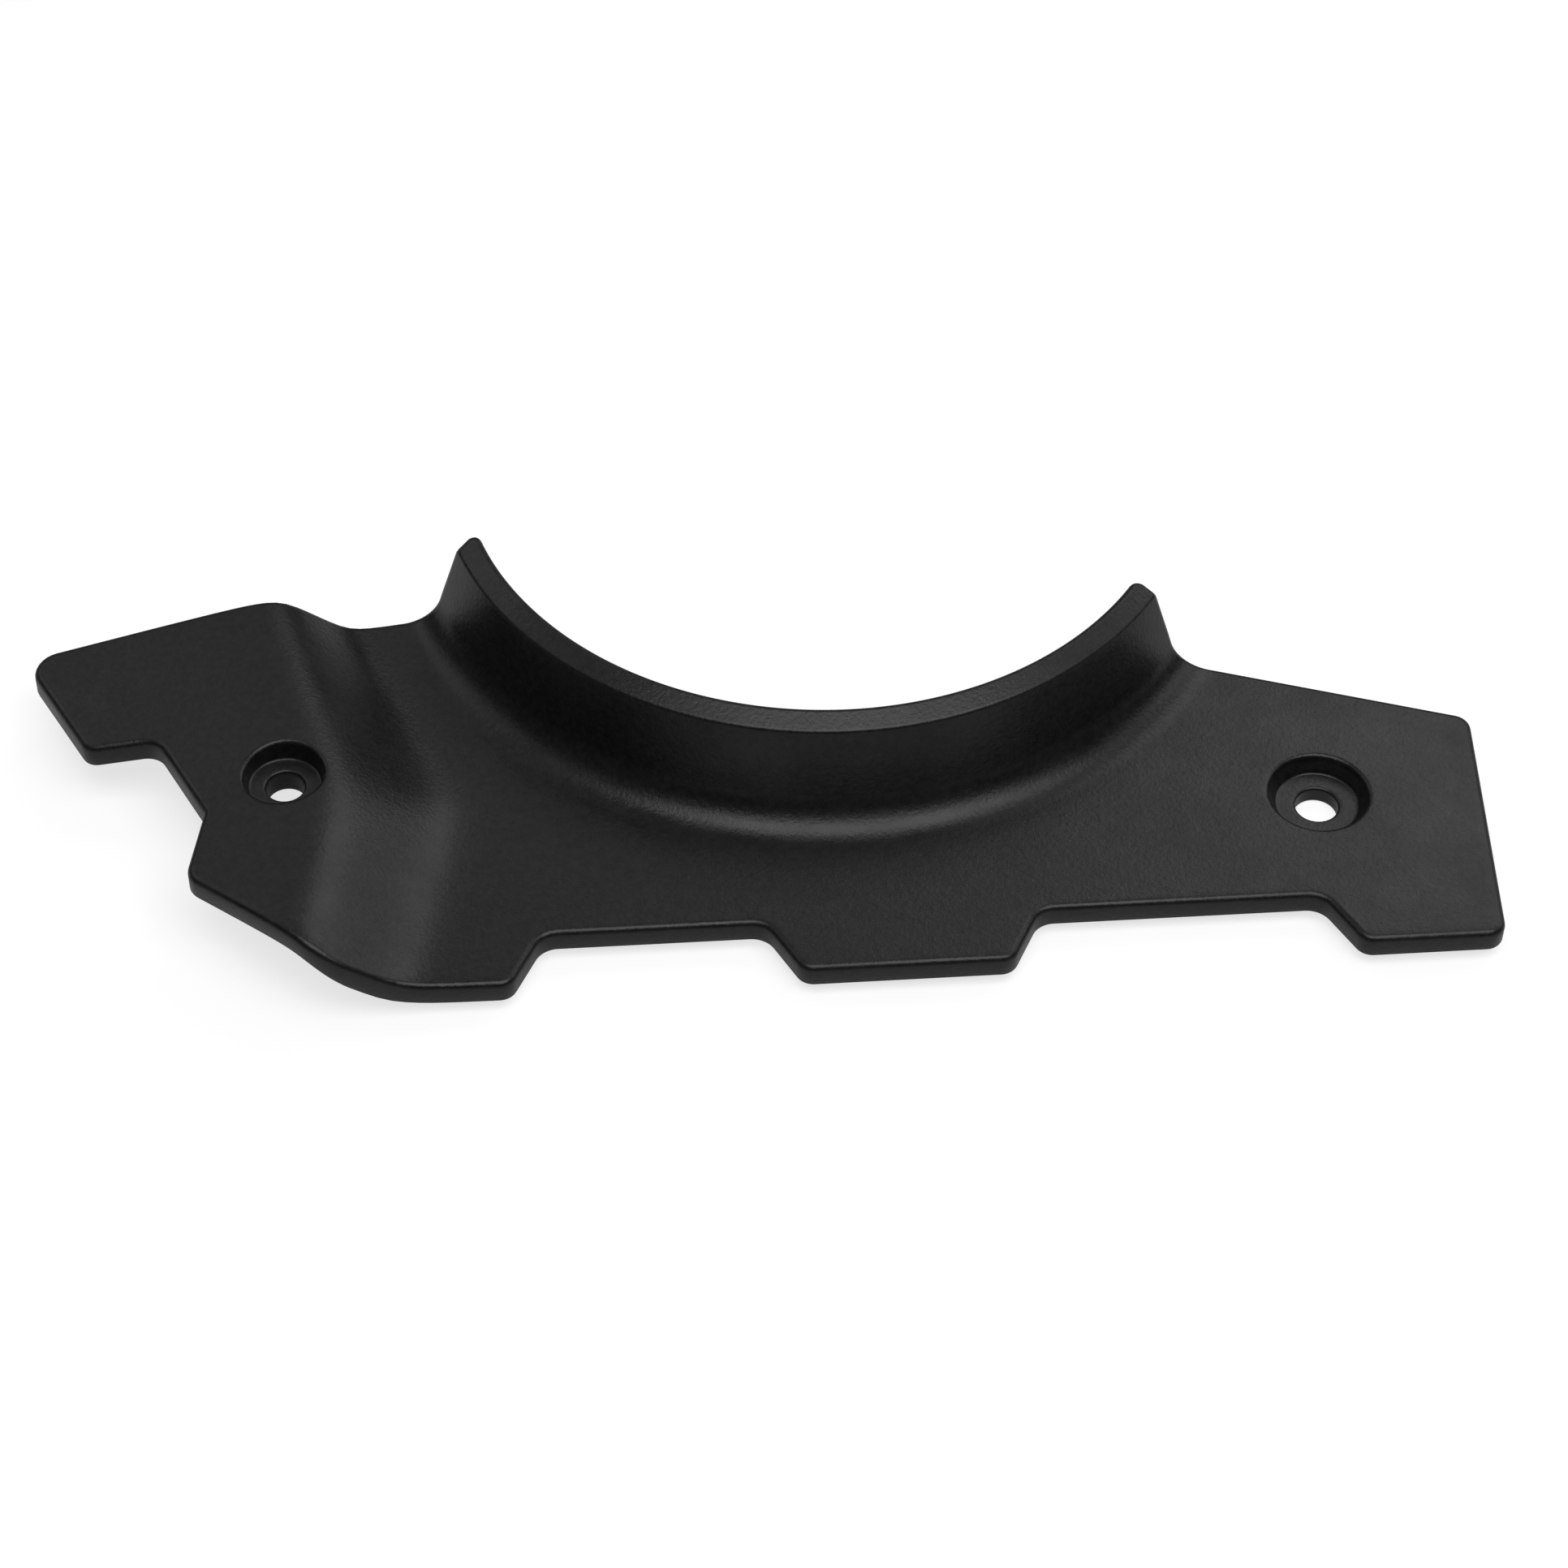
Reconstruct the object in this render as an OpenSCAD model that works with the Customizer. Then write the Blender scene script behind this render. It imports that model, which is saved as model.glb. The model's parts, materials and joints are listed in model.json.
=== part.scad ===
// Lower side panel of a motorbike, moulded in one piece, with a half-round collar.
// Millimetres, +Z up. The origin is the middle of the panel's box, level with the surface that
// it rests on. +X runs along the panel, -Y towards its long edge. The sizes and places below
// are taken from the axis of the half-round gap.

/* [Wall and edge] */
// Thickness of the moulded wall
wall = 2.5; // [1.8:0.1:3]
// Depth of the skirt round the edge, from the top face down
skirt_h = 4; // [3.6:0.1:7]
// Thickness of the skirt
skirt_t = 2; // [1.5:0.1:2.4]
// Radius along the top of the edge
edge_r = 1.1; // [0.6:0.1:1.3]

/* [Collar] */
// Radius of the half-round gap inside the collar
collar_r = 60; // [54:1:64]
// Height of the collar's rim above the flat plate
collar_h = 18.1; // [12:0.1:22]
// Width of the sloping band on top of the collar
band_w = 4.3; // [3.5:0.1:5]
// Slope of that band, degrees from level
band_slope = 23; // [10:1:30]
// Slope of the collar's outer wall, degrees from level
collar_slope = 73; // [66:1:78]
// Radius of the fillet at the collar's foot
foot_r = 7.3; // [5:0.1:9]
// How far the left horn's inner corner reaches out
horn_reach = 1.2; // [0:0.1:1.5]
// How far both horns' outer corners are clipped
horn_clip = 1.2; // [0:0.1:1.5]
// Height of the lip inside the rim
lip_h = 2.6; // [2:0.1:4]

/* [Back edge] */
// Distance of the left back edge from the collar's axis
back_left_off = 6.8; // [4:0.1:20]
// Tilt of the left back edge, degrees
back_left_tilt = 9.2; // [0:0.1:14]
// Distance of the right back edge from the collar's axis
back_right_off = 15.9; // [8:0.1:24]
// Tilt of the right back edge, degrees
back_right_tilt = 18.7; // [8:0.1:22]

/* [Front edge] */
// Distance of the tabs' front edge from the collar's axis
tab_y = 99.3; // [96:0.1:106]
// Distance of the notches' floor from the collar's axis
notch_y = 89.4; // [88:0.1:93]
// Right end of the left tab
tab_a_right = -55.6; // [-60:0.1:-50]
// Left end of the middle tab
tab_b_left = -10; // [-14:0.1:-4]
// Right end of the middle tab
tab_b_right = 23.1; // [18:0.1:30]
// Left end of the right tab
tab_c_left = 78.7; // [70:0.1:84]
// How far a tab's side leans out over the depth of a notch
tab_lean = 5.2; // [3:0.1:8]
// Rounding of the tabs' outer corners
tab_r = 3; // [2.5:0.1:4]
// Rounding of the notches' inner corners
notch_r = 4; // [2:0.1:5]

/* [Right end] */
// Front corner of the right end
end_x = 101.4; // [96:0.1:108]
// Back corner of the right end
end_back_x = 104.5; // [100:0.1:112]

/* [Left wing] */
// Back corner of the wing's tip
tip_x = -134; // [-142:0.1:-126]
// Front corner of the wing's tip
tip_front_x = -122.5; // [-126:0.1:-119]
// Distance of the wing's side notch from the collar's axis
side_y = 50.8; // [47:0.1:53]
// Inner end of the side notch
side_x = -111; // [-114:0.1:-108]
// Waist between the side notch and the front corner
waist = [-102.9, -67.3];
// Front left corner
corner_a = [-105.6, -80.7];
// Where the slanted edge meets the left tab
corner_b_x = -84.5; // [-88:0.1:-80]
// Rise of the wing over the flat plate
wing_h = 10.8; // [2:0.1:12]
// Fall of the wing towards its tip, per mm
wing_fall = 0.13; // [0:0.01:0.18]
// Foot of the ramp up to the wing, where it bends
ramp_foot = [-64, -62.5];
// Top of the ramp, where it bends
ramp_top = [-80.8, -66];

/* [Right bolt] */
// Centre of the right bolt
bolt_r_at = [76.6, -67.5];
// Radius of its recess at the floor
recess_r_floor = 6.9; // [6:0.1:8]
// Radius of its recess at the face
recess_r_top = 8.8; // [8.4:0.1:10]
// Depth of its recess
recess_r_depth = 3; // [2:0.1:4]
// Radius of its bore
bore_r_radius = 3.5; // [2:0.1:4.2]
// How far its boss stands out under the skirt
boss_drop = 2; // [0.5:0.1:4]

/* [Left bolt] */
// Centre of the left bolt
bolt_l_at = [-90.3, -60.9];
// Radius of its recess at the floor
recess_l_floor = 5.9; // [5:0.1:6.4]
// Radius of its recess at the face
recess_l_top = 7.2; // [6.9:0.1:8.4]
// Depth of its recess, at its centre
recess_l_depth = 3.4; // [2.5:0.1:5]
// Radius of its bore
bore_l_radius = 3.1; // [2:0.1:3.6]
// Length of its bore
bore_l_length = 4.3; // [3:0.1:6]

/* [Hidden] */

panel_colour = "#2b2b2c";
plate_z = boss_drop + skirt_h;
rim_z = plate_z + collar_h;
corner_r = 3;
tip_r = 4;
waist_r = 1.5;
slant_r = 11;
recess_round = 0.8;
bore_chamfer = 0.5;
boss_wall = 2;
cut_over = 12;
bead = 0.5;
round_facets = 96;

// The two back edges as lines: direction of the normal and distance from the axis
left_n = 270 + back_left_tilt;
right_n = 270 - back_right_tilt;
function line_y(x, n, off) = (off - x * cos(n)) / sin(n);

// Section of the collar as [distance from the axis, height], outside face.
// Band, wall, fillet and plate meet tangentially or at the rim's crease.
crease = [collar_r + band_w, rim_z - band_w * tan(band_slope)];
fillet_end = crease[0] + (crease[1] - plate_z) / tan(collar_slope)
    + foot_r * tan(collar_slope / 2);
fillet_mid = [fillet_end, plate_z + foot_r];
wall_dir = [cos(collar_slope), -sin(collar_slope)];
wall_out = [sin(collar_slope), cos(collar_slope)];
wall_end = fillet_mid - foot_r * wall_out;
crease_r = 0.35;
tip_in = 0.8;
fillet_steps = 4;
outer_face = concat(
    [for (d = [edge_r, edge_r + tip_in * (1 - cos(45)), edge_r + tip_in, band_w - crease_r])
        [collar_r + d, rim_z - d * tan(band_slope)]],
    [crease + crease_r * wall_dir, (crease + wall_end) / 2],
    [for (s = [0:fillet_steps]) let (a = collar_slope * (1 - s / fillet_steps))
        fillet_mid - foot_r * [sin(a), cos(a)]]);
// Inside face, one wall away, and the foot of the skirt at the two cut ends
lip_z = rim_z - lip_h;
function inner_rho(z, gap) = crease[0] + (crease[1] - z) / tan(collar_slope)
    - gap / sin(collar_slope);
wall_row = 5;
lip_step = 0.7;
bead_step = 0.4;
function follow(gap, top_z, i) =
    let (z_end = ((crease + wall_end) / 2 - gap * wall_out)[1],
        z = top_z + (z_end - top_z) * i / wall_row)
    [inner_rho(z, gap), z];
function fillet_off(gap, s) = let (a = collar_slope * (1 - s / fillet_steps))
    fillet_mid - (foot_r + gap) * [sin(a), cos(a)];
inner_face = concat(
    [for (i = [0:wall_row]) follow(wall, lip_z - lip_step, i)],
    [for (s = [0:fillet_steps]) fillet_off(wall, s)]);
cut_foot = concat(
    [[collar_r, lip_z]],
    [for (i = [1:wall_row]) follow(wall + bead, lip_z - bead_step, i)],
    [for (s = [0:fillet_steps])
        fillet_off(wall + bead + (skirt_h - wall - bead) * s / fillet_steps, s)]);
rows_a = len(outer_face) - 1;
plate_rows = 12;
row_count = rows_a + plate_rows;

// Height of the wing and its ramp over the plate
function soft(t, w) = (t + sqrt(t * t + w * w)) / 2;
bend_w = 5;
ramp_ease = 0.28;
fall_start = 3;
fall_ease = 4;
foot_back = 0.40;
foot_front = 0.24;
top_back = 0.23;
top_front = 0.165;
function bent(p, y, back, front) =
    p[0] - back * soft(y - p[1], bend_w) - front * soft(p[1] - y, bend_w);
function rise(x, y) =
    let (f = bent(ramp_foot, y, foot_back, foot_front),
        t = bent(ramp_top, y, top_back, top_front), u = (f - x) / (f - t))
    wing_h * (soft(u, ramp_ease) - soft(u - 1, ramp_ease))
        - wing_fall * soft(t - fall_start - x, fall_ease);
// Depth below the face that gives an even wall on a slope
function steep(x, y) = let (d = 0.5, z = rise(x, y))
    sqrt(1 + pow((rise(x + d, y) - z) / d, 2) + pow((rise(x, y + d) - z) / d, 2));

// Outline from the left back corner round the front to the right back corner: [x, y, radius]
corners = [
    [tip_x, line_y(tip_x, left_n, back_left_off), tip_r],
    [tip_front_x, -side_y, corner_r],
    [side_x, -side_y, notch_r],
    [waist[0], waist[1], waist_r],
    [corner_a[0], corner_a[1], tip_r],
    [corner_b_x, -tab_y, slant_r],
    [tab_a_right, -tab_y, tab_r],
    [tab_a_right + tab_lean, -notch_y, notch_r],
    [tab_b_left - tab_lean, -notch_y, notch_r],
    [tab_b_left, -tab_y, tab_r],
    [tab_b_right, -tab_y, tab_r],
    [tab_b_right + tab_lean, -notch_y, notch_r],
    [tab_c_left - tab_lean, -notch_y, notch_r],
    [tab_c_left, -tab_y, tab_r],
    [end_x, -tab_y, corner_r],
    [end_back_x, line_y(end_back_x, right_n, back_right_off), corner_r]];
start_pt = [0, line_y(0, left_n, back_left_off), 0];
stop_pt = [0, line_y(0, right_n, back_right_off), 0];
chain = concat([start_pt], corners, [stop_pt]);
function flat2(p) = [p[0], p[1]];
function unit(v) = v / norm(v);
function right_of(v) = [v[1], -v[0]];
// One rounded corner as points with outward normals
arc_steps = 3;
function corner_arc(i) =
    let (p = flat2(chain[i]), a = unit(p - flat2(chain[i - 1])),
        b = unit(flat2(chain[i + 1]) - p), turn = a[0] * b[1] - a[1] * b[0],
        half = acos(max(-1, min(1, a * b))) / 2, r = chain[i][2],
        t0 = p - a * r * tan(half), side = turn > 0 ? -1 : 1, mid = t0 + side * r * right_of(a))
    [for (s = [0:arc_steps]) let (w = s / arc_steps * 2 * half * (turn > 0 ? 1 : -1),
        n0 = right_of(a), n = [n0[0] * cos(w) - n0[1] * sin(w), n0[0] * sin(w) + n0[1] * cos(w)])
        [mid - side * r * n, n]];
// Straight stretches get in-between points about this far apart
step_len = 6.5;
function between(p, q) = let (d = norm(q[0] - p[0]), n = max(0, round(d / step_len) - 1))
    [for (k = [1:1:n]) [p[0] + (q[0] - p[0]) * k / (n + 1), p[1]]];
arcs = [for (i = [1:len(chain) - 2]) corner_arc(i)];
outline = [for (i = [0:len(arcs) - 1]) each concat(arcs[i],
    i < len(arcs) - 1 ? between(arcs[i][arc_steps], arcs[i + 1][0]) : [])];
cols = len(outline);

// Share of the way round for each column. Length along the outline counts less at the
// two ends, so that no two columns cross on their way from the collar to the outline.
left_end = -75;
right_end = 72;
function weight(x) = x < left_end ? 0.45 : x > right_end ? 0.15 : 1;
lengths = [for (k = 0, s = 0; k < cols; s = s + (k + 1 < cols
    ? norm(outline[k + 1][0] - outline[k][0]) * weight(outline[k][0][0]) : 0), k = k + 1) s];
share = [for (k = [0:cols - 1]) lengths[k] / lengths[cols - 1]];

// Plan position on a circle of radius rho, with the two cut ends moved in by extra
function on_ring(rho, k, inset, extra) =
    let (a0 = left_n - acos((back_left_off + inset) / rho) + extra[0] / rho * 180 / PI,
        a1 = right_n + acos((back_right_off + inset) / rho) - extra[1] / rho * 180 / PI,
        a = a0 + (a1 - a0) * share[k])
    rho * [cos(a), sin(a)];
// Along the rim's two ends: a small rounding, then the clipped corner, which fades out below
tip_extra = [tip_in, tip_in * (1 - cos(45))];
crease_row = 4;
function clipped(i, reach) = i < crease_row
    ? (horn_clip + reach) * (outer_face[i][0] - collar_r) / band_w - reach
    : horn_clip * (1 - (i - crease_row) / (rows_a - crease_row));
function end_shift(i) = let (round_in = i < 2 ? tip_extra[i] : 0)
    [round_in + clipped(i, horn_reach), round_in + clipped(i, 0)];
function plan(i, k, inset, face, tips) =
    i <= rows_a ? on_ring(face[i][0], k, inset, tips ? end_shift(i) : [0, 0])
    : let (v = (i - rows_a) / (row_count - rows_a), p = on_ring(face[rows_a][0], k, inset, [0, 0]),
        q = outline[k][0] - inset * outline[k][1]) p + (q - p) * v;
function top_pt(i, k) = let (p = plan(i, k, edge_r, outer_face, true))
    [p[0], p[1], (i <= rows_a ? outer_face[i][1] : plate_z) + rise(p[0], p[1])];
function under_pt(i, k) = let (p = plan(i, k, skirt_t, inner_face, false), g = steep(p[0], p[1]))
    [p[0], p[1], (i <= rows_a ? inner_face[i][1] - wall * (g - 1) : plate_z - wall * g)
        + rise(p[0], p[1])];
top_grid = [for (i = [0:row_count]) for (k = [0:cols - 1]) top_pt(i, k)];
under_grid = [for (i = [0:row_count]) for (k = [0:cols - 1]) under_pt(i, k)];

// Loop round the edge as [row, column], counter-clockwise seen from above
loop = concat([for (i = [0:row_count]) [i, 0]], [for (k = [1:cols - 1]) [row_count, k]],
    [for (i = [row_count - 1:-1:0]) [i, cols - 1]], [for (k = [cols - 2:-1:1]) [0, k]]);
loop_n = len(loop);
function turned(n, m, s) = unit(n * cos(s) + m * sin(s));
function out_normal(i, k) =
    i == row_count ? outline[k][1]
    : k > 0 && k < cols - 1 ? -unit(flat2(top_pt(0, k)))
    : let (n = k == 0 ? left_n : right_n, cut = [-cos(n), -sin(n)], in = -unit(flat2(top_pt(0, k))))
        i == 0 ? in : i == 1 ? turned(in, cut, 45) : cut;
function edge_ring(s) = [for (c = loop)
    let (p = top_pt(c[0], c[1]), n = out_normal(c[0], c[1]))
    [p[0] + n[0] * edge_r * sin(s), p[1] + n[1] * edge_r * sin(s), p[2] - edge_r * (1 - cos(s))]];
function foot_xy(c, inset) =
    let (i = c[0], k = c[1], p = top_pt(i, k), n = out_normal(i, k))
    i == 0 ? (inset > 0 ? plan(0, k, skirt_t, [[inner_rho(lip_z, wall) - bead / 2, 0]], false)
        : flat2(p) + edge_r * n)
    : i <= rows_a ? plan(i, k, inset, cut_foot, false)
    : outline_pt(i, k, inset);
function outline_pt(i, k, inset) = plan(i, k, inset, outer_face, false);
function foot_z(c, p) =
    c[0] <= rows_a ? cut_foot[c[0]][1] + rise(p[0], p[1])
    : plate_z - skirt_h * steep(p[0], p[1]) + rise(p[0], p[1]);
function foot_ring(inset) = [for (c = loop) let (p = foot_xy(c, inset))
    [p[0], p[1], foot_z(c, p)]];

// All points: the two faces, then the rings that close the edge between them
rings = [edge_ring(30), edge_ring(60), edge_ring(90), foot_ring(0), foot_ring(skirt_t)];
points = concat(top_grid, under_grid, [for (r = rings) each r]);
grid_n = (row_count + 1) * cols;
function cell(c) = c[0] * cols + c[1];
function ring_ix(r, j) = let (m = (j + loop_n) % loop_n)
    r < 0 ? cell(loop[m]) : r >= len(rings) ? grid_n + cell(loop[m]) : 2 * grid_n + r * loop_n + m;
face_tris = [for (i = [0:row_count - 1]) for (k = [0:cols - 2])
    let (a = i * cols + k, b = a + 1, c = a + cols, d = c + 1)
    each [[a, b, c], [b, d, c], [grid_n + a, grid_n + c, grid_n + b],
        [grid_n + b, grid_n + c, grid_n + d]]];
edge_tris = [for (r = [-1:len(rings) - 1]) for (j = [0:loop_n - 1])
    let (a = ring_ix(r, j), b = ring_ix(r, j + 1), c = ring_ix(r + 1, j), d = ring_ix(r + 1, j + 1))
    each [[a, b, c], [b, d, c]]];

module shell() {
    polyhedron(points = points, faces = concat(face_tris, edge_tris));
}

// Boss under a bolt: a plain round post up into the wall
module boss(at, radius, bottom, top, fall) {
    translate([at[0], at[1], 0]) difference() {
        translate([0, 0, bottom]) cylinder(r = radius, h = top + radius - bottom, $fn = round_facets);
        translate([0, 0, top]) rotate([0, -atan(fall), 0]) translate([-2 * radius, -2 * radius, 0])
            cube([4 * radius, 4 * radius, 2 * radius]);
    }
}

// Recess with a drafted wall and an eased rim, and the bore with a small chamfer
module bolt_cut(at, floor_r, top_r, floor_z, bore, bottom, top) {
    translate([at[0], at[1], 0]) {
        rotate_extrude($fn = round_facets) polygon([[0, floor_z], [floor_r, floor_z],
            [top_r - recess_round, top - recess_round],
            [top_r - recess_round * 0.7, top - recess_round * 0.3],
            [top_r, top], [top_r, top + cut_over], [0, top + cut_over]]);
        translate([0, 0, bottom - 1]) cylinder(r = bore, h = top - bottom + 1, $fn = round_facets);
        translate([0, 0, floor_z - bore_chamfer]) cylinder(r1 = bore, r2 = bore + bore_chamfer,
            h = bore_chamfer, $fn = round_facets);
    }
}

right_floor = plate_z - recess_r_depth;
left_face = plate_z + rise(bolt_l_at[0], bolt_l_at[1]);
left_floor = left_face - recess_l_depth;

// Middle of the box in plan
xs = [for (p = points) p[0]];
ys = [for (p = points) p[1]];
box_mid = [(min(xs) + max(xs)) / 2, (min(ys) + max(ys)) / 2];

module side_panel() {
    color(panel_colour) translate([-box_mid[0], -box_mid[1], 0]) difference() {
        union() {
            shell();
            boss(bolt_r_at, recess_r_floor + boss_wall, 0, plate_z - wall / 2, 0);
            boss(bolt_l_at, recess_l_floor + boss_wall, left_floor - bore_l_length,
                left_face - wall / 2, wing_fall);
        }
        bolt_cut(bolt_r_at, recess_r_floor, recess_r_top, right_floor, bore_r_radius, 0, plate_z);
        bolt_cut(bolt_l_at, recess_l_floor, recess_l_top, left_floor, bore_l_radius,
            left_floor - bore_l_length, left_face);
    }
}

side_panel();
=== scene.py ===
import json
import math

import bpy
import numpy as np
from mathutils import Matrix


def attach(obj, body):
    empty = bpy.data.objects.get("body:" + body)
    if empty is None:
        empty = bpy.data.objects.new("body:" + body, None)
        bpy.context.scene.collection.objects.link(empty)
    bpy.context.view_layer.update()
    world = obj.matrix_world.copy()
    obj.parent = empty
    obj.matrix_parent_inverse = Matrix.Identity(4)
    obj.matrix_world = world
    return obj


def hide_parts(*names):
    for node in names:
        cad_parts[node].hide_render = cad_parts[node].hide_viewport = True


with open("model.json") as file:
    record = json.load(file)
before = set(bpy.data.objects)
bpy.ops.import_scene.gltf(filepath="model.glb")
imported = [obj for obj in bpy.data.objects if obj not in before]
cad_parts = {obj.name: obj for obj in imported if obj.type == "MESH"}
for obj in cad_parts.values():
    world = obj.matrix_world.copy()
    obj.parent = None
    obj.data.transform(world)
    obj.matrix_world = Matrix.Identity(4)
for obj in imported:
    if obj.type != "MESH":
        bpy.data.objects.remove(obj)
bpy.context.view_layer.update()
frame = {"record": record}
print("stage: frame loaded")

# Lengths in millimetres, slopes in degrees. Shapes are worked out about the collar's axis, with
# z = 0 on the table, and moved to the frame's origin when the mesh is made.
panel = {
    "wall": 2.5, "skirtHeight": 4.0, "skirtThick": 2.0, "edgeRound": 1.1, "plateHeight": 6.0,
    "footRound": 0.3, "footRoundInside": 0.2,
}
collar = {
    "radius": 60.0, "height": 18.1, "bandWidth": 4.3, "bandSlope": 23.0, "wallSlope": 73.0,
    "fillet": 7.3, "creaseRound": 0.9, "creaseStart": 0.6, "lipHeight": 2.6, "bead": 0.5,
    "lipStep": 0.7, "beadStep": 0.4, "tipRound": 0.8, "hornReach": 1.0, "hornClip": 1.2,
}
# The two back edges as lines: the bearing of the normal and the distance from the collar's axis
backEdges = {"leftNormal": 279.2, "leftOffset": 6.8, "rightNormal": 251.3, "rightOffset": 15.9}
# The ramp's foot and top are lines that bend at a point. Back and front tell how far each runs
# to the left per millimetre behind and before the bend.
wing = {
    "height": 10.8, "fall": 0.13, "fallStart": 3.0, "fallEase": 4.0, "rampEase": 0.28, "bendEase": 5.0,
    "foot": {"bend": (-64.0, -62.5), "back": 0.40, "front": 0.24},
    "top": {"bend": (-80.8, -66.0), "back": 0.23, "front": 0.165},
}
# Corners of the outline seen from above, from the wing's tip round the front: x, y, rounding.
# The first and the last lie on the two back edges, whose lines give their y. The first corner's
# rounding and the collar's hornReach are such that this finer mesh stays inside the CAD's box.
corners = [(-134.0, None, 4.15), (-122.5, -50.8, 3.0), (-111.0, -50.8, 4.0), (-102.9, -67.3, 1.5),
           (-105.6, -80.7, 4.0), (-84.5, -99.3, 11.0), (-55.6, -99.3, 3.0), (-50.4, -89.4, 4.0),
           (-15.2, -89.4, 4.0), (-10.0, -99.3, 3.0), (23.1, -99.3, 3.0), (28.3, -89.4, 4.0),
           (73.5, -89.4, 4.0), (78.7, -99.3, 3.0), (101.4, -99.3, 3.0), (104.5, None, 3.0)]
bolts = [
    {"at": (76.6, -67.5), "rim": 8.8, "floor": 6.9, "depth": 3.0, "bore": 3.5, "post": 8.9, "bottom": 0.0},
    {"at": (-90.3, -60.9), "rim": 7.2, "floor": 5.9, "depth": 3.4, "bore": 3.1, "post": 7.9, "length": 4.3},
]
boltRound = {"rim": 0.8, "corner": 0.5, "draft": 0.1, "mouth": 0.5, "bore": 0.3, "post": 0.4, "root": 0.15,
             "rimMargin": 0.05, "postMargin": 0.3}
# The collar's axis in the frame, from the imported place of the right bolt
boltPlace = next(m["pos_m"] for m in frame["record"]["mounts"] if m["name"] == "bolt_right")
axisPlace = np.array([boltPlace[0] * 1000 - bolts[0]["at"][0], boltPlace[1] * 1000 - bolts[0]["at"][1], 0.0])
# How finely each stretch is cut, and the two ends where length along the outline counts less
detail = {
    "straightStep": 2.0, "arcSteps": 8, "flatRows": 34, "edgeSteps": 6, "tipRows": 5, "bandRows": 4,
    "creaseRows": 7, "wallRows": 7, "filletRows": 13, "boltMargin": 1.6, "boltTopRings": 8,
    "boltUnderRings": 6, "leftEnd": -75.0, "leftWeight": 0.45, "rightEnd": 72.0, "rightWeight": 0.15,
    "sharpAngle": 38.0,
}
boltSteps = {"rim": 8, "slope": 5, "corner": 6, "floor": 6, "mouth": 6, "bore": 6, "foot": 4, "under": 5,
             "post": 5}


def soft(t, width):
    # half of (t plus the root of t squared plus width squared): zero, then a line, with a soft start
    return (t + np.sqrt(t * t + width * width)) / 2


def bentLine(line, y):
    # x of the line at y: the bend's x, less a soft run to the left behind it and before it
    x0, y0 = line["bend"]
    return x0 - line["back"] * soft(y - y0, wing["bendEase"]) - line["front"] * soft(y0 - y, wing["bendEase"])


def rise(x, y):
    # Share u runs from 0 at the ramp's foot to 1 at its top, both bent lines. The wing is the
    # wing's height times u held softly between 0 and 1, less a steady fall towards the tip.
    foot, top = bentLine(wing["foot"], y), bentLine(wing["top"], y)
    u = (foot - x) / (foot - top)
    up = wing["height"] * (soft(u, wing["rampEase"]) - soft(u - 1, wing["rampEase"]))
    return up - wing["fall"] * soft(top - wing["fallStart"] - x, wing["fallEase"])


def steep(x, y):
    # root of one plus the squared slopes, for an even wall under a slope
    d = 0.5  # how far apart the two heights are taken
    z = rise(x, y)
    return np.sqrt(1 + ((rise(x + d, y) - z) / d) ** 2 + ((rise(x, y + d) - z) / d) ** 2)


def lineY(x, normal, offset):
    a = math.radians(normal)
    return (offset - x * math.cos(a)) / math.sin(a)


def unit(v):
    return v / np.linalg.norm(v, axis=-1, keepdims=True)


def between(start, end, count):
    # count points from start to end in even steps, without the two ends
    return start + (end - start) * np.linspace(0, 1, count)[1:-1, None]


def outlineColumns():
    # Each corner is an arc that is tangent to both its edges, the edges between get even steps.
    left = (backEdges["leftNormal"], backEdges["leftOffset"])
    right = (backEdges["rightNormal"], backEdges["rightOffset"])
    chain = [np.array([0, lineY(0, *left)])]
    for x, y, _ in corners:
        chain.append(np.array([x, y if y is not None else lineY(x, *(left if x < 0 else right))]))
    chain.append(np.array([0, lineY(0, *right)]))
    points, normals = [], []
    for i, (_, _, rounding) in enumerate(corners, 1):
        a, b = unit(chain[i] - chain[i - 1]), unit(chain[i + 1] - chain[i])
        turn = 1.0 if a[0] * b[1] - a[1] * b[0] > 0 else -1.0
        half = math.acos(np.clip(a @ b, -1, 1)) / 2
        w = np.linspace(0, 2 * half * turn, detail["arcSteps"] + 1)
        out = np.array([a[1], -a[0]])
        n = np.stack([out[0] * np.cos(w) - out[1] * np.sin(w), out[0] * np.sin(w) + out[1] * np.cos(w)], 1)
        mid = chain[i] - a * rounding * math.tan(half) - out * rounding * turn
        arc = mid + rounding * turn * n
        if points:
            last = points[-1][-1]
            count = max(0, round(np.linalg.norm(arc[0] - last) / detail["straightStep"]) - 1)
            points.append(between(last, arc[0], count + 2))
            normals.append(np.repeat(normals[-1][-1:], count, 0))
        points.append(arc)
        normals.append(n)
    return np.concatenate(points), np.concatenate(normals)


outline, outNormal = outlineColumns()
columns = len(outline)
# Share of the way round: length along the outline, which counts less near both ends,
# so that no two columns cross between the collar and the outline.
weight = np.where(outline[:, 0] < detail["leftEnd"], detail["leftWeight"],
                  np.where(outline[:, 0] > detail["rightEnd"], detail["rightWeight"], 1.0))
steps = np.linalg.norm(np.diff(outline, axis=0), axis=1) * weight[:-1]
share = np.concatenate([[0], np.cumsum(steps)]) / steps.sum()

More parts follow.
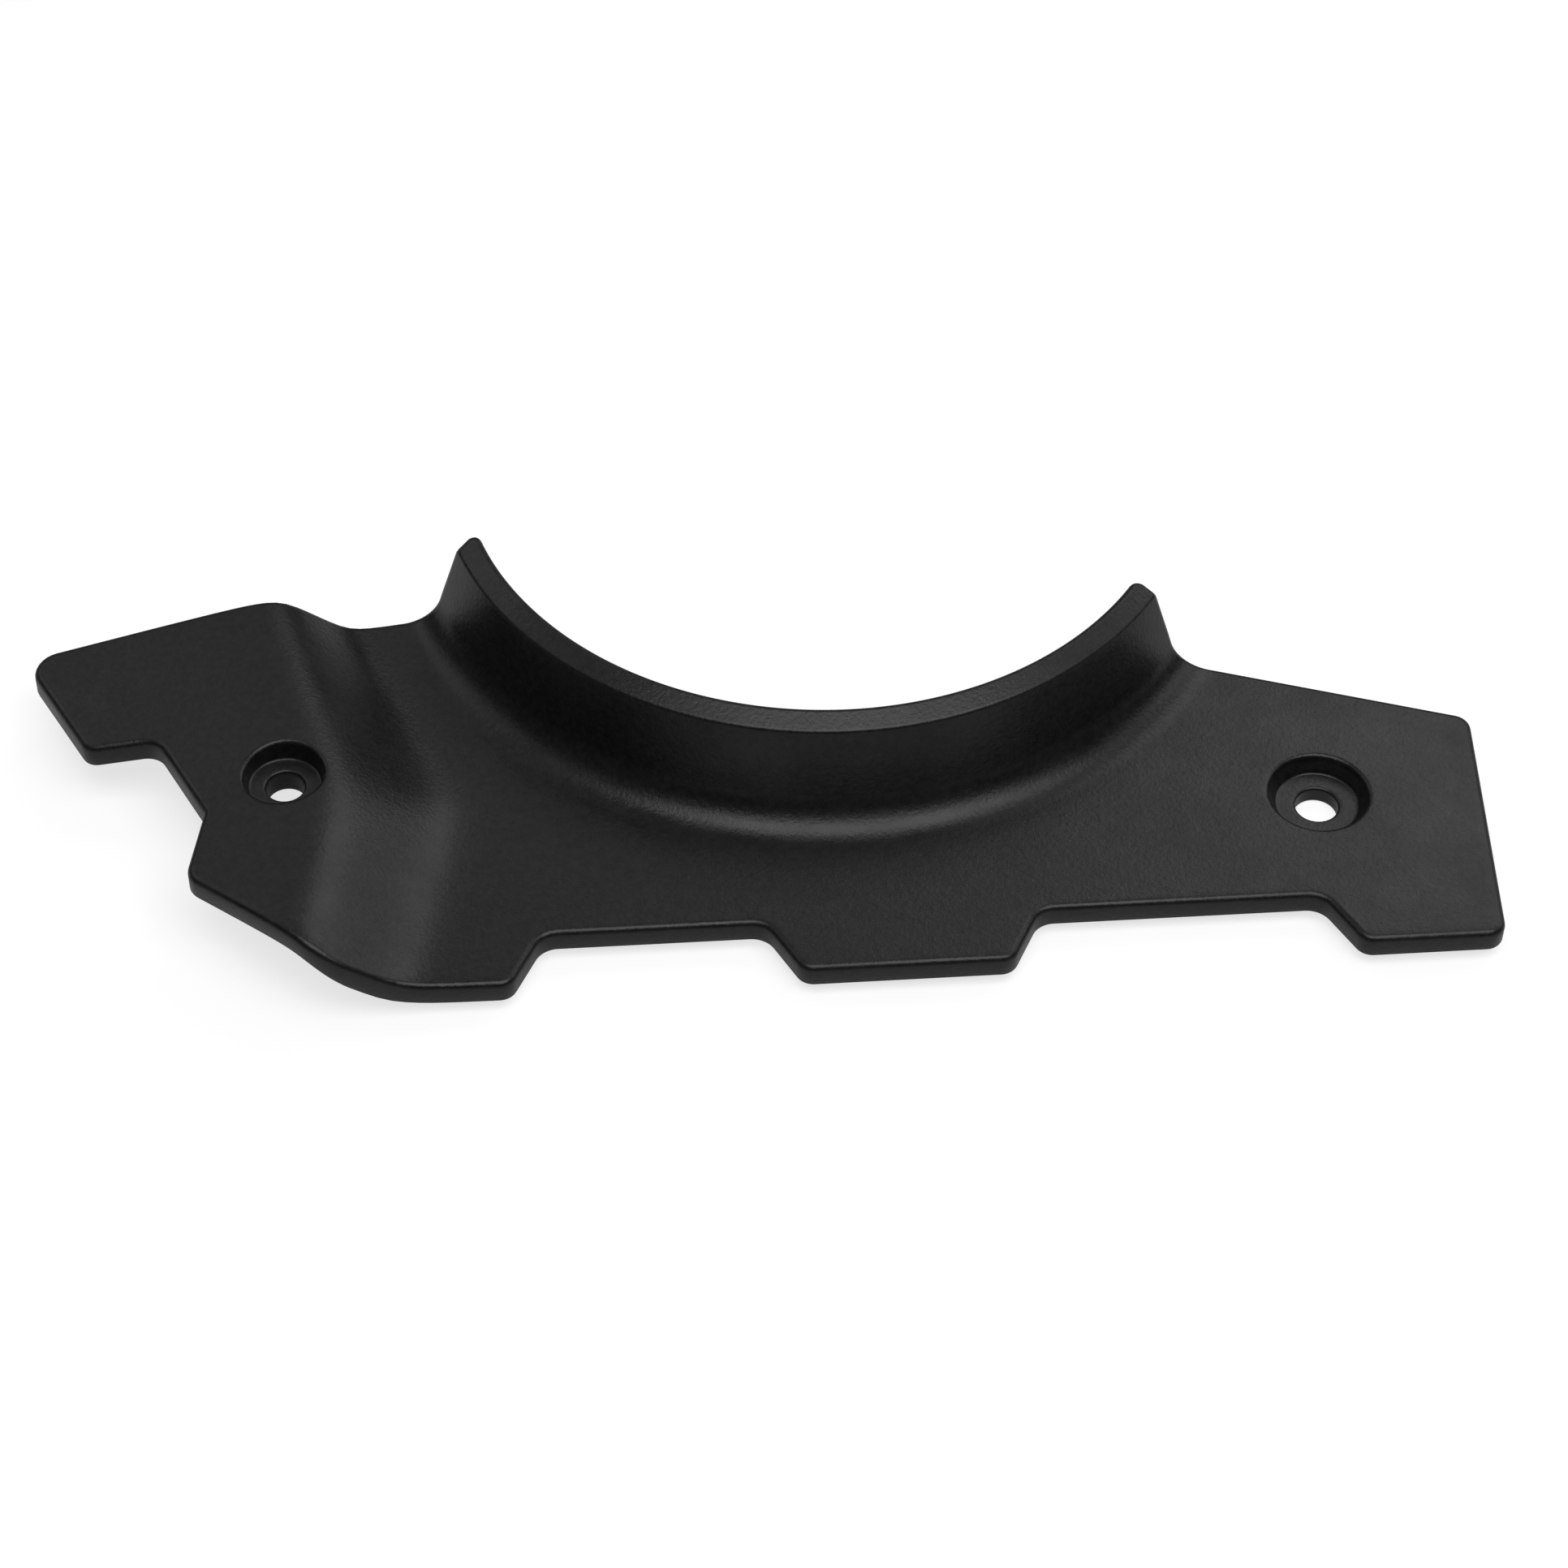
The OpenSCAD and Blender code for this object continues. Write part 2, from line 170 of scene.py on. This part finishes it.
plate = panel["plateHeight"]
wall, edge, skirt = panel["wall"], panel["edgeRound"], panel["skirtThick"]
radius, rim = collar["radius"], plate + collar["height"]
lip, bead = rim - collar["lipHeight"], collar["bead"]
bandSlope, wallSlope = math.radians(collar["bandSlope"]), math.radians(collar["wallSlope"])
crease = np.array([radius + collar["bandWidth"], rim - collar["bandWidth"] * math.tan(bandSlope)])
fillet, tip = collar["fillet"], collar["tipRound"]
filletEnd = crease[0] + (crease[1] - plate) / math.tan(wallSlope) + fillet * math.tan(wallSlope / 2)
filletMid = np.array([filletEnd, plate + fillet])
wallOut = np.array([math.sin(wallSlope), math.cos(wallSlope)])
bandDown = np.array([math.cos(bandSlope), -math.sin(bandSlope)])
wallEnd = filletMid - fillet * wallOut
filletAngle = wallSlope * (1 - np.linspace(0, 1, detail["filletRows"]))[:, None]


def filletAt(gap):
    # circle about the fillet's middle, one gap further out than the fillet itself
    return filletMid - (fillet + gap) * np.concatenate([np.sin(filletAngle), np.cos(filletAngle)], 1)


def collarOutside():
    # Section of the collar as distance from the axis and height: sloping band, rounded crease,
    # straight wall and fillet, which meet on their tangents. Also the angles of the tip's rounding.
    q = np.linspace(0, math.pi / 2, detail["tipRows"])
    bandRest = np.linspace(edge + tip, collar["bandWidth"] - collar["creaseStart"], detail["bandRows"])[1:]
    along = np.concatenate([edge + tip * (1 - np.cos(q)), bandRest])
    band = np.stack([radius + along, rim - along * math.tan(bandSlope)], 1)
    r = collar["creaseRound"]
    back = r * math.tan((wallSlope - bandSlope) / 2)
    mid = crease - back * bandDown - r * np.array([math.sin(bandSlope), math.cos(bandSlope)])
    a = np.linspace(bandSlope, wallSlope, detail["creaseRows"])
    creaseArc = mid + r * np.stack([np.sin(a), np.cos(a)], 1)
    straight = between(creaseArc[-1], wallEnd, detail["wallRows"])
    return np.concatenate([band, creaseArc, straight, filletAt(0)]), q


outside, tipAngle = collarOutside()
upperRows = len(outside) - len(filletAngle)
lastCollarRow = len(outside) - 1
rows = lastCollarRow + detail["flatRows"]


def insideAt(z, gap):
    # distance from the axis of the wall moved in by gap, at height z
    return crease[0] + (crease[1] - z) / math.tan(wallSlope) - gap / math.sin(wallSlope)


def collarInside(gap, topZ, endGap):
    # the outside moved in by the wall, from topZ down to the fillet
    endZ = (wallEnd - gap * wallOut)[1]
    z = topZ + (endZ - topZ) * np.arange(upperRows) / upperRows
    gaps = gap + (endGap - gap) * np.linspace(0, 1, len(filletAngle))[:, None]
    return np.concatenate([np.stack([insideAt(z, gap), z], 1), filletAt(gaps)])


inside = collarInside(wall, lip - collar["lipStep"], wall)
cutFoot = collarInside(wall + bead, lip - collar["beadStep"], panel["skirtHeight"])
cutFoot[0] = (radius, lip)


def onRing(rho, inset, extra):
    # A point on a circle about the axis, at its share of the way between the two cut ends,
    # which are drawn in by extra: one row for the left end, one for the right.
    rho, extra = np.asarray(rho, float)[..., None], np.asarray(extra, float)[..., None]
    a0 = math.radians(backEdges["leftNormal"]) - np.arccos((backEdges["leftOffset"] + inset) / rho)
    a1 = math.radians(backEdges["rightNormal"]) + np.arccos((backEdges["rightOffset"] + inset) / rho)
    a0, a1 = a0 + extra[0] / rho, a1 - extra[1] / rho
    a = a0 + (a1 - a0) * share
    return np.stack([rho * np.cos(a), rho * np.sin(a)], -1)


def hornShift():
    # The clipped outer corner grows in a line from the rim to the crease and fades out down the
    # wall, a third of it, and the fillet. The left horn's inner corner reaches out by the same line.
    clip, reach = collar["hornClip"], collar["hornReach"]
    onBand = (outside[:, 0] - radius) / collar["bandWidth"]
    start = np.argmax(onBand > 1)
    down = np.concatenate([np.zeros(start), np.linspace(0, 1 / 3, upperRows - start),
                           1 / 3 + np.linspace(0, 2 / 3, len(filletAngle))])
    faded = clip * (1 - down)
    tipRow = np.zeros(len(outside))
    tipRow[: len(tipAngle)] = tip * (1 - np.sin(tipAngle))
    left = np.where(onBand < 1, (clip + reach) * onBand - reach, faded)
    right = np.where(onBand < 1, clip * onBand, faded)
    return np.stack([tipRow + left, tipRow + right])


endShift = hornShift()


def planGrid(face, inset, tips):
    # circles about the axis as far as the fillet's end, then straight lines to the outline
    ring = onRing(face[:, 0], inset, endShift if tips else np.zeros((2, len(face))))
    v = (np.arange(1, detail["flatRows"] + 1) / detail["flatRows"])[:, None, None]
    return np.concatenate([ring, ring[-1] + (outline - inset * outNormal - ring[-1]) * v])


def heights(face, flat):
    return np.concatenate([face[:, 1], np.full(detail["flatRows"], flat)])[:, None]


def topGrid():
    # the section's height over each place, plus the wing's rise
    p = planGrid(outside, edge, True)
    return np.concatenate([p, (heights(outside, plate) + rise(p[..., 0], p[..., 1]))[..., None]], -1)


def underGrid():
    # one wall below the top, and lower still where the face is steep
    p = planGrid(inside, skirt, False)
    g = steep(p[..., 0], p[..., 1])
    z = heights(inside, plate - wall) - wall * (g - 1) + rise(p[..., 0], p[..., 1])
    return np.concatenate([p, z[..., None]], -1)


top, under = topGrid(), underGrid()
size = (rows + 1) * columns


def blockLoop(i0, i1, k0, k1):
    # index pairs round a block of the grid, counter-clockwise seen from above
    i = [np.arange(i0, i1), np.full(k1 - k0, i1), np.arange(i1, i0, -1), np.full(k1 - k0, i0)]
    k = [np.full(i1 - i0, k0), np.arange(k0, k1), np.full(i1 - i0, k1), np.arange(k1, k0, -1)]
    return np.concatenate(i), np.concatenate(k)


loopRow, loopColumn = blockLoop(0, rows, 0, columns - 1)
loopSize = len(loopRow)


def loopNormals():
    # The outline's own normal on the outline, towards the axis along the rim, and square to the
    # cut along the two ends. It turns evenly from one to the other at the horns' tips.
    n = -unit(top[loopRow, loopColumn, :2])
    front = loopRow == rows
    n[front] = outNormal[loopColumn[front]]
    for column, bearing in ((0, backEdges["leftNormal"]), (columns - 1, backEdges["rightNormal"])):
        cut = -np.array([math.cos(math.radians(bearing)), math.sin(math.radians(bearing))])
        at = (loopColumn == column) & (loopRow < rows)
        j = np.clip(loopRow[at] / (len(tipAngle) - 1), 0, 1)[:, None] * math.pi / 2
        n[at] = unit(n[at] * np.cos(j) + cut * np.sin(j))
    return n


side = loopNormals()
loopTop = top[loopRow, loopColumn]


def edgeRing(s):
    # quarter circle from the top face's edge down to the skirt, at angle s
    xy = loopTop[:, :2] + side * edge * math.sin(s)
    return np.concatenate([xy, loopTop[:, 2:] - edge * (1 - math.cos(s))], 1)


def footRing(inset, lift):
    # the skirt's foot, or the lip's along the rim
    xy = planGrid(cutFoot, inset, False)[loopRow, loopColumn]
    front = loopRow == rows
    xy[front] = (outline - inset * outNormal)[loopColumn[front]]
    inner = loopRow == 0
    rimXY = loopTop[:, :2] + edge * side
    innerXY = onRing(insideAt(lip, wall) - bead / 2, skirt, (0, 0))[loopColumn]
    xy[inner] = (rimXY + (innerXY - rimXY) * (inset / skirt))[inner]
    up = rise(xy[:, 0], xy[:, 1])
    z = plate - panel["skirtHeight"] * steep(xy[:, 0], xy[:, 1]) + up
    cut = loopRow <= lastCollarRow
    z[cut] = cutFoot[loopRow[cut], 1] + up[cut]
    return np.concatenate([xy, (z + lift)[:, None]], 1)


foot = panel["footRound"]
halfWay = 0.3 * foot  # what a quarter circle leaves at its middle
rings = [edgeRing(math.pi / 2 * s / detail["edgeSteps"]) for s in range(1, detail["edgeSteps"] + 1)]
rings += [footRing(0, foot), footRing(halfWay, halfWay), footRing(foot, 0), footRing(skirt - foot, 0),
          footRing(skirt, panel["footRoundInside"])]
vertices = [top.reshape(-1, 3), under.reshape(-1, 3)] + rings
total = 2 * size + len(rings) * loopSize


def strip(a, b):
    # quads between two closed rings of vertex numbers
    return np.stack([a, b, np.roll(b, -1), np.roll(a, -1)], 1)


ringIds = [loopRow * columns + loopColumn]
ringIds += [2 * size + r * loopSize + np.arange(loopSize) for r in range(len(rings))]
ringIds += [size + loopRow * columns + loopColumn]
faces = [strip(a, b) for a, b in zip(ringIds[:-1], ringIds[1:])]


def arcPoints(x, z, r, a0, a1, count):
    a = np.radians(np.linspace(a0, a1, count))
    return np.stack([x + r * np.cos(a), z + r * np.sin(a)], 1)


def boltProfile(bolt, face, below):
    # Recess, bore and post as radius and height, turned about the bolt's axis. Rounded rim, drafted
    # wall, small fillet, flat floor, eased bore, post and its root. The third column tells
    # how far a point follows the sloping face.
    floor = face - bolt["depth"]
    bottom = bolt.get("bottom", floor - bolt.get("length", 0))
    bore, post, ease, n = bolt["bore"], bolt["post"], boltRound, boltSteps
    rimArc = arcPoints(bolt["rim"], face - ease["rim"], ease["rim"], 90, 180, n["rim"])
    corner = np.array([bolt["floor"] + ease["draft"], floor + ease["corner"]])
    floorArc = arcPoints(corner[0] - ease["corner"], corner[1], ease["corner"], 0, -90, n["corner"])
    mouthArc = arcPoints(bore + ease["mouth"], floor - ease["mouth"], ease["mouth"], 90, 180, n["mouth"])
    footArc = arcPoints(bore + ease["bore"], bottom + ease["bore"], ease["bore"], 180, 270, n["foot"])
    postArc = arcPoints(post - ease["post"], bottom + ease["post"], ease["post"], -90, 0, n["post"])
    floorEnds = np.array([[floorArc[-1, 0], floor], [bore + ease["mouth"], floor]])
    boreEnds = np.array([[bore, mouthArc[-1, 1]], [bore, bottom + ease["bore"]]])
    postEnds = np.array([[bore + ease["bore"], bottom], [post - ease["post"], bottom]])
    root = np.array([[post, below - ease["root"]], [post + ease["root"], below]])
    slope = between(rimArc[-1], corner, n["slope"])
    parts = [(rimArc, 1.0), (slope, np.linspace(1, 0, n["slope"])[1:-1]), (floorArc, 0.0),
             (between(*floorEnds, n["floor"]), 0.0), (mouthArc, 0.0), (between(*boreEnds, n["bore"]), 0.0),
             (footArc, 0.0), (between(*postEnds, n["under"]), 0.0), (postArc, 0.0), (root, 1.0)]
    return np.concatenate([np.column_stack([points, np.broadcast_to(follow, len(points))])
                           for points, follow in parts])


def raised(xy, z):
    return np.concatenate([xy, z[:, None]], 1)


def boltPatch(bolt):
    # Rings round a bolt: from a block of the top grid in to the recess's rim, down the bolt's
    # profile, and out along the underside to the same block of the grid below.
    at = np.array(bolt["at"])
    i, k = np.nonzero(np.hypot(*(top[..., :2] - at).transpose(2, 0, 1)) < bolt["post"] + detail["boltMargin"])
    block = (i.min() - 1, i.max() + 1, k.min() - 1, k.max() + 1)
    i, k = blockLoop(*block)
    start, end = top[i, k, :2], under[i, k, :2]
    bearing = np.unwrap(np.arctan2(start[:, 1] - at[1], start[:, 0] - at[0]))
    even = 2 * math.pi * np.arange(len(i)) / len(i)
    even = even + (bearing - even).mean()
    spoke = np.stack([np.cos(even), np.sin(even)], 1)
    face = plate + float(rise(*at))
    patch = []
    first = at + spoke * (bolt["rim"] + boltRound["rimMargin"])
    for s in np.linspace(0, 1, detail["boltTopRings"])[1:-1]:
        xy = start + (first - start) * s
        patch.append(raised(xy, plate + rise(*xy.T)))
    for r, z, follow in boltProfile(bolt, face, face - wall * float(steep(*at))):
        xy = at + spoke * r
        patch.append(raised(xy, z + follow * (plate + rise(*xy.T) - face)))
    last = at + spoke * (bolt["post"] + boltRound["postMargin"])
    for s in np.linspace(1, 0, detail["boltUnderRings"])[:-1]:
        xy = end + (last - end) * s
        patch.append(raised(xy, plate + rise(*xy.T) - wall * steep(*xy.T)))
    return block, i * columns + k, patch


keep = np.ones((rows, columns - 1), bool)
for bolt in bolts:
    block, border, patch = boltPatch(bolt)
    keep[block[0]:block[1], block[2]:block[3]] = False
    count = len(border)
    ids = [border] + [total + r * count + np.arange(count) for r in range(len(patch))] + [size + border]
    faces += [strip(a, b)[:, ::-1] for a, b in zip(ids[:-1], ids[1:])]
    vertices += patch
    total += count * len(patch)

i, k = np.nonzero(keep)
a = i * columns + k
faces.append(np.stack([a, a + columns, a + columns + 1, a + 1], 1))
faces.append(size + np.stack([a, a + 1, a + columns + 1, a + columns], 1))


def buildMesh(name, points, quads):
    # drops the points that no face uses, then hands whole arrays to Blender
    used, order = np.unique(quads, return_inverse=True)
    points, quads = (points[used] + axisPlace) * 0.001, order.reshape(quads.shape)
    mesh = bpy.data.meshes.new(name)
    mesh.vertices.add(len(points))
    mesh.vertices.foreach_set("co", points.astype(np.float32).ravel())
    mesh.loops.add(quads.size)
    mesh.loops.foreach_set("vertex_index", quads.astype(np.int32).ravel())
    mesh.polygons.add(len(quads))
    mesh.polygons.foreach_set("loop_start", np.arange(0, quads.size, 4, dtype=np.int32))
    mesh.update(calc_edges=True)
    mesh.validate()
    mesh.shade_smooth()
    mesh.set_sharp_from_angle(angle=math.radians(detail["sharpAngle"]))
    piece = bpy.data.objects.new(name, mesh)
    bpy.context.scene.collection.objects.link(piece)
    return piece


moulding = buildMesh("moulding", np.concatenate(vertices), np.concatenate(faces))
print("stage: panel mesh, faces", len(moulding.data.polygons))


def linear(code):
    # sRGB hex to linear light
    c = np.array([int(code[j:j + 2], 16) for j in (1, 3, 5)]) / 255
    return tuple(np.where(c <= 0.04045, c / 12.92, ((c + 0.055) / 1.055) ** 2.4)) + (1.0,)


def addNode(tree, kind, settings=None, links=()):
    node = tree.nodes.new(kind)
    for key, value in (settings or {}).items():
        node.inputs[key].default_value = value
    for socket, source in links:
        tree.links.new(source, node.inputs[socket])
    return node


# Sizes and depth in millimetres
plastic = {
    "darkTone": "#101011", "lightTone": "#1c1c1e", "roughness": 0.34, "glossier": 0.05, "duller": 0.06,
    "specular": 0.4, "grainSize": 0.7, "grainDepth": 0.06, "speckSize": 1.1, "patchSize": 14.0,
}


def mouldedPlastic():
    # Black grained ABS. The fine grain breaks up the highlights into a soft satin, and patches of
    # slightly different gloss keep the large flat from looking painted. Such a grain is usually
    # about 0.3 mm wide. It is drawn at about twice that, so that it shows.
    material = bpy.data.materials.new("moulded grained ABS")
    material.use_nodes = True
    tree = material.node_tree
    tree.nodes.clear()
    place = addNode(tree, "ShaderNodeTexCoord")
    grain = addNode(tree, "ShaderNodeTexNoise",
                    {"Scale": 1000 / plastic["grainSize"], "Detail": 3.0, "Roughness": 0.6},
                    [("Vector", place.outputs["Object"])])
    patches = addNode(tree, "ShaderNodeTexNoise",
                      {"Scale": 1000 / plastic["patchSize"], "Detail": 4.0, "Roughness": 0.65},
                      [("Vector", place.outputs["Object"])])
    specks = addNode(tree, "ShaderNodeTexNoise", {"Scale": 1000 / plastic["speckSize"], "Detail": 2.0},
                     [("Vector", place.outputs["Object"])])
    gloss = addNode(tree, "ShaderNodeMapRange",
                    {"From Min": 0.3, "From Max": 0.7, "To Min": plastic["roughness"] - plastic["glossier"],
                     "To Max": plastic["roughness"] + plastic["duller"]},
                    [("Value", patches.outputs["Fac"])])
    tone = addNode(tree, "ShaderNodeValToRGB", links=[("Fac", specks.outputs["Fac"])])
    dark, light = tone.color_ramp.elements
    dark.position, light.position = 0.3, 0.7
    dark.color, light.color = linear(plastic["darkTone"]), linear(plastic["lightTone"])
    bump = addNode(tree, "ShaderNodeBump", {"Strength": 1.0, "Distance": plastic["grainDepth"] * 0.001},
                   [("Height", grain.outputs["Fac"])])
    shader = addNode(tree, "ShaderNodeBsdfPrincipled",
                     {"IOR": 1.5, "Metallic": 0.0, "Specular IOR Level": plastic["specular"]},
                     [("Base Color", tone.outputs["Color"]), ("Roughness", gloss.outputs["Result"]),
                      ("Normal", bump.outputs["Normal"])])
    addNode(tree, "ShaderNodeOutputMaterial", links=[("Surface", shader.outputs["BSDF"])])
    return material


moulding.data.materials.append(mouldedPlastic())
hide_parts("side_panel")
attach(moulding, "root")
print("stage: material")


# The table and the lights are in metres
table = {"colour": "#a8a8a8", "glowSeen": 0.74, "glowOnPanel": 0.22, "halfSize": 3.0, "drop": 1e-4}


def paleTable():
    # Matt white sheet with some glow, so that shadows stay faint. The camera sees a stronger glow
    # than the one that lights the panel, which no real sheet does: it keeps the sheet white and
    # its reflections dim.
    material = bpy.data.materials.new("white table")
    material.use_nodes = True
    tree = material.node_tree
    tree.nodes.clear()
    seen = addNode(tree, "ShaderNodeLightPath")
    glow = addNode(tree, "ShaderNodeMapRange", {"To Min": table["glowOnPanel"], "To Max": table["glowSeen"]},
                   [("Value", seen.outputs["Is Camera Ray"])])
    shader = addNode(tree, "ShaderNodeBsdfPrincipled",
                     {"Base Color": linear(table["colour"]), "Roughness": 0.9, "Specular IOR Level": 0.1,
                      "Emission Color": (1, 1, 1, 1)},
                     [("Emission Strength", glow.outputs["Result"])])
    addNode(tree, "ShaderNodeOutputMaterial", links=[("Surface", shader.outputs["BSDF"])])
    return material


half, drop = table["halfSize"], table["drop"]
floorCorners = [(x * half, y * half, -drop) for x, y in ((-1, -1), (1, -1), (1, 1), (-1, 1))]
floorMesh = bpy.data.meshes.new("table")
floorMesh.from_pydata(floorCorners, [], [(0, 1, 2, 3)])
floor = bpy.data.objects.new("table", floorMesh)
floorMesh.materials.append(paleTable())
bpy.context.scene.collection.objects.link(floor)

world = bpy.data.worlds.new("studio")
world.use_nodes = True
world.node_tree.nodes["Background"].inputs["Color"].default_value = (0.03, 0.03, 0.032, 1)
bpy.context.scene.world = world

# Softboxes that all face the same point: place, width, height and watts
aim = (0.01, 0.0, 0.0)
softboxes = {
    "overhead": ((0.10, -0.24, 0.80), 0.90, 0.55, 4.9),
    "back": ((-0.10, 0.95, 1.00), 2.2, 0.7, 2.3),
    "back right": ((0.52, 0.70, 0.88), 0.6, 0.5, 1.5),
    "right": ((1.18, 0.50, 0.78), 1.0, 0.6, 2.5),
    "left": ((-0.95, 0.50, 0.90), 1.0, 0.6, 1.2),
}


def hangSoftbox(name, place, width, height, watts):
    light = bpy.data.lights.new(name, "AREA")
    light.shape, light.size, light.size_y = "RECTANGLE", width, height
    light.energy = watts
    lamp = bpy.data.objects.new(name, light)
    z = unit(np.array(place, float) - np.array(aim, float))
    # the width runs level, or along x for a lamp that hangs nearly overhead
    x = unit(np.cross((0.0, 0.0, 1.0) if z[2] < 0.9 else (0.0, 1.0, 0.0), z))
    turned = np.eye(4)
    turned[:3, 0], turned[:3, 1], turned[:3, 2], turned[:3, 3] = x, np.cross(z, x), z, place
    lamp.matrix_world = Matrix(turned.tolist())
    bpy.context.scene.collection.objects.link(lamp)


for name, settings in softboxes.items():
    hangSoftbox(name, *settings)
print("stage: table and lights")

# The photograph's camera: place in millimetres from the collar's axis, angles in degrees
camera = {"place": (-46.80, -487.20, 472.73), "turn": 4.913, "tilt": 47.424, "roll": 0.810,
          "focalPixels": 4800.0, "imagePixels": 1932.0, "sensor": 36.0, "nearest": 0.01}


def placeCamera():
    # axes from the turn about z, the tilt down and the roll, in that order
    turn, tilt, roll = (math.radians(camera[key]) for key in ("turn", "tilt", "roll"))
    right = np.array([math.cos(turn), -math.sin(turn), 0.0])
    ahead = np.array([math.sin(turn), math.cos(turn), 0.0])
    upward = np.array([0.0, 0.0, 1.0])
    look = ahead * math.cos(tilt) - upward * math.sin(tilt)
    lift = ahead * math.sin(tilt) + upward * math.cos(tilt)
    m = np.eye(4)
    m[:3, 0] = math.cos(roll) * right + math.sin(roll) * lift
    m[:3, 1] = -math.sin(roll) * right + math.cos(roll) * lift
    m[:3, 2] = -look
    m[:3, 3] = (np.array(camera["place"]) + axisPlace) * 0.001
    data = bpy.data.cameras.new("camera")
    data.sensor_width = camera["sensor"]
    data.lens = camera["sensor"] * camera["focalPixels"] / camera["imagePixels"]
    data.clip_start = camera["nearest"]
    body = bpy.data.objects.new("camera", data)
    body.matrix_world = Matrix(m.tolist())
    bpy.context.scene.collection.objects.link(body)
    bpy.context.scene.camera = body


placeCamera()
bpy.context.scene.view_settings.view_transform = "Standard"
print("stage: camera")
